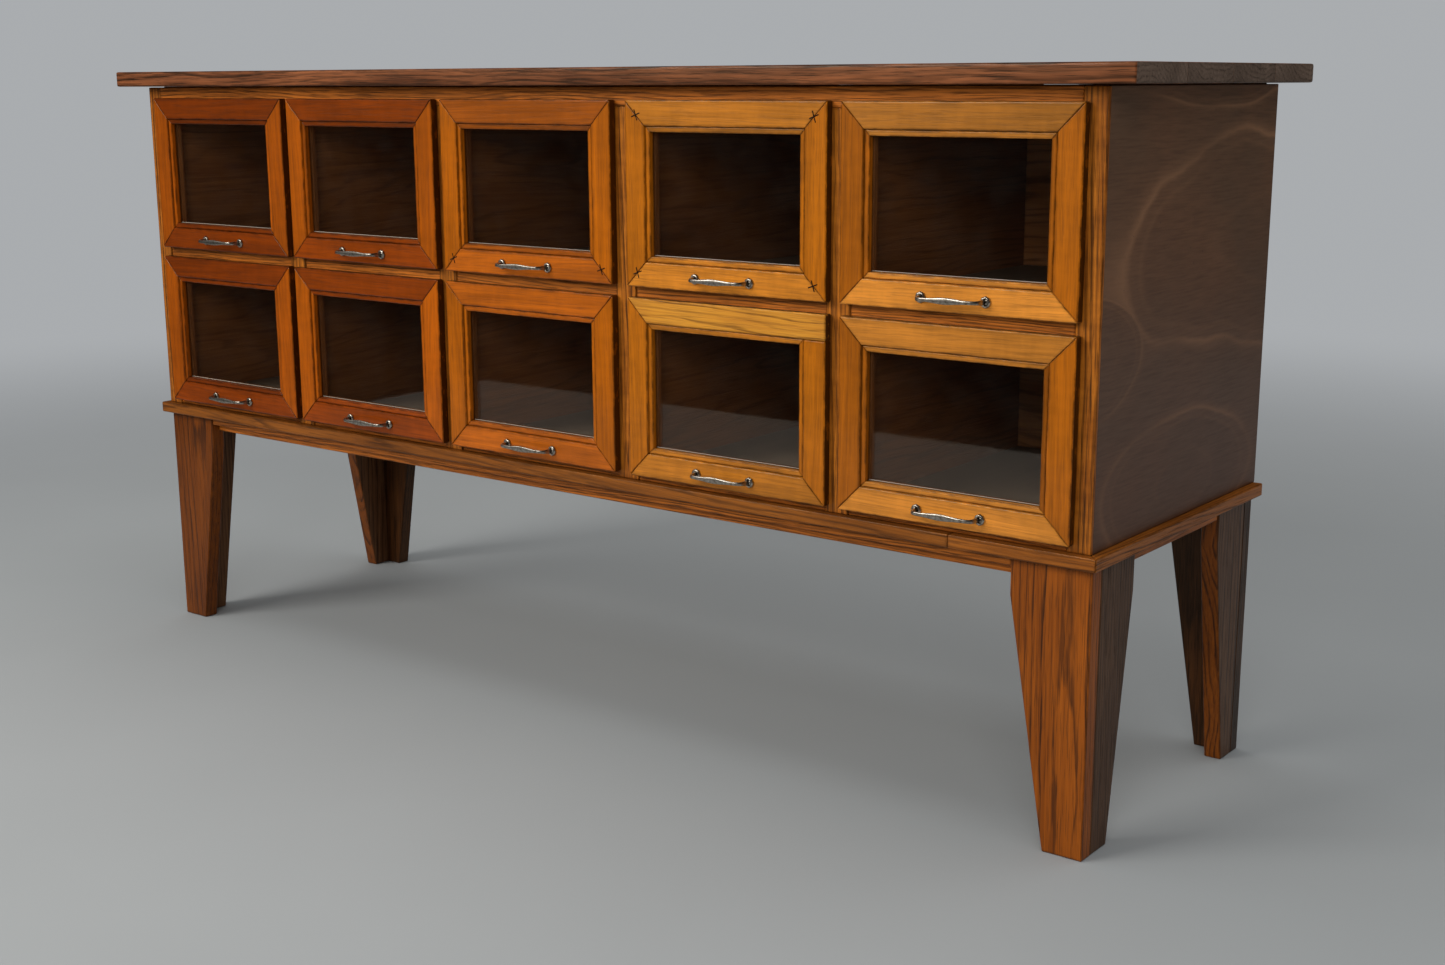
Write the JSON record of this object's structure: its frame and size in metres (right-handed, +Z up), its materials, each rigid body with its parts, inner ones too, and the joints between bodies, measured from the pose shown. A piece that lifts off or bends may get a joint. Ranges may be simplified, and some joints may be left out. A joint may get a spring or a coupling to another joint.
{
  "type": "haberdashery counter with glass-fronted drawers",
  "caption": "Free-standing wooden shop counter on tapered L-shaped legs, with two rows of glass-fronted sliding drawers, bow handles and an overhanging plank top.",
  "frame": {"origin": "on the floor, under the middle of the bounding box at rest (all drawers closed)", "axes": "+X along the counter to its right seen from the front, +Y from the drawer fronts to the back, +Z up"},
  "size_m": [1.8932, 0.545, 0.9675],
  "materials": {
    "top_oak": "dark reddish-brown varnished oak",
    "frame_oak": "medium brown varnished oak with dark pores",
    "leg_oak": "medium brown varnished oak with strong dark grain",
    "side_panel": "dark-stained plywood, satin",
    "drawer_front": "honey-orange varnished fine-grained wood",
    "drawer_pine": "brown-varnished pine",
    "inner_softwood": "bare softwood, aged",
    "glass": "clear float glass",
    "handle_metal": "aged satin nickel-plated steel",
    "screw_steel": "plain steel wood screws"
  },
  "bodies": {
    "carcass": {"top_boards": "top_oak", "top_cleats": "inner_softwood", "top_screws": "screw_steel", "side_panel_left": "side_panel", "side_panel_right": "side_panel", "back_panel": "inner_softwood", "face_frame_stiles": "frame_oak", "top_rail": "frame_oak", "mid_rails": "frame_oak", "bottom_rails": "frame_oak", "divider_panels": "inner_softwood", "drawer_runners": "inner_softwood", "bottom_board": "inner_softwood", "base_edging": "frame_oak", "apron_rails": "frame_oak", "leg_front_left": "leg_oak", "leg_front_right": "leg_oak", "leg_rear_left": "leg_oak", "leg_rear_right": "leg_oak", "leg_corner_blocks": "inner_softwood"},
    "drawer_top_1": {"drawer_top_1_front": "drawer_front", "drawer_top_1_glass": "glass", "drawer_top_1_box": "drawer_pine", "drawer_top_1_handle": "handle_metal"},
    "drawer_top_2": {"drawer_top_2_front": "drawer_front", "drawer_top_2_glass": "glass", "drawer_top_2_box": "drawer_pine", "drawer_top_2_handle": "handle_metal"},
    "drawer_top_3": {"drawer_top_3_front": "drawer_front", "drawer_top_3_glass": "glass", "drawer_top_3_box": "drawer_pine", "drawer_top_3_handle": "handle_metal"},
    "drawer_top_4": {"drawer_top_4_front": "drawer_front", "drawer_top_4_glass": "glass", "drawer_top_4_box": "drawer_pine", "drawer_top_4_handle": "handle_metal"},
    "drawer_top_5": {"drawer_top_5_front": "drawer_front", "drawer_top_5_glass": "glass", "drawer_top_5_box": "drawer_pine", "drawer_top_5_handle": "handle_metal"},
    "drawer_bottom_1": {"drawer_bottom_1_front": "drawer_front", "drawer_bottom_1_glass": "glass", "drawer_bottom_1_box": "drawer_pine", "drawer_bottom_1_handle": "handle_metal"},
    "drawer_bottom_2": {"drawer_bottom_2_front": "drawer_front", "drawer_bottom_2_glass": "glass", "drawer_bottom_2_box": "drawer_pine", "drawer_bottom_2_handle": "handle_metal"},
    "drawer_bottom_3": {"drawer_bottom_3_front": "drawer_front", "drawer_bottom_3_glass": "glass", "drawer_bottom_3_box": "drawer_pine", "drawer_bottom_3_handle": "handle_metal"},
    "drawer_bottom_4": {"drawer_bottom_4_front": "drawer_front", "drawer_bottom_4_glass": "glass", "drawer_bottom_4_box": "drawer_pine", "drawer_bottom_4_handle": "handle_metal"},
    "drawer_bottom_5": {"drawer_bottom_5_front": "drawer_front", "drawer_bottom_5_glass": "glass", "drawer_bottom_5_box": "drawer_pine", "drawer_bottom_5_handle": "handle_metal"}
  },
  "joints": [
    {"name": "drawer_top_1_slide", "type": "slide", "parent": "carcass", "child": "drawer_top_1", "axis": [0, -1, 0], "range_m": [0, 0.33]},
    {"name": "drawer_top_2_slide", "type": "slide", "parent": "carcass", "child": "drawer_top_2", "axis": [0, -1, 0], "range_m": [0, 0.33]},
    {"name": "drawer_top_3_slide", "type": "slide", "parent": "carcass", "child": "drawer_top_3", "axis": [0, -1, 0], "range_m": [0, 0.33]},
    {"name": "drawer_top_4_slide", "type": "slide", "parent": "carcass", "child": "drawer_top_4", "axis": [0, -1, 0], "range_m": [0, 0.33]},
    {"name": "drawer_top_5_slide", "type": "slide", "parent": "carcass", "child": "drawer_top_5", "axis": [0, -1, 0], "range_m": [0, 0.33]},
    {"name": "drawer_bottom_1_slide", "type": "slide", "parent": "carcass", "child": "drawer_bottom_1", "axis": [0, -1, 0], "range_m": [0, 0.33]},
    {"name": "drawer_bottom_2_slide", "type": "slide", "parent": "carcass", "child": "drawer_bottom_2", "axis": [0, -1, 0], "range_m": [0, 0.33]},
    {"name": "drawer_bottom_3_slide", "type": "slide", "parent": "carcass", "child": "drawer_bottom_3", "axis": [0, -1, 0], "range_m": [0, 0.33]},
    {"name": "drawer_bottom_4_slide", "type": "slide", "parent": "carcass", "child": "drawer_bottom_4", "axis": [0, -1, 0], "range_m": [0, 0.33]},
    {"name": "drawer_bottom_5_slide", "type": "slide", "parent": "carcass", "child": "drawer_bottom_5", "axis": [0, -1, 0], "range_m": [0, 0.33]}
  ]
}
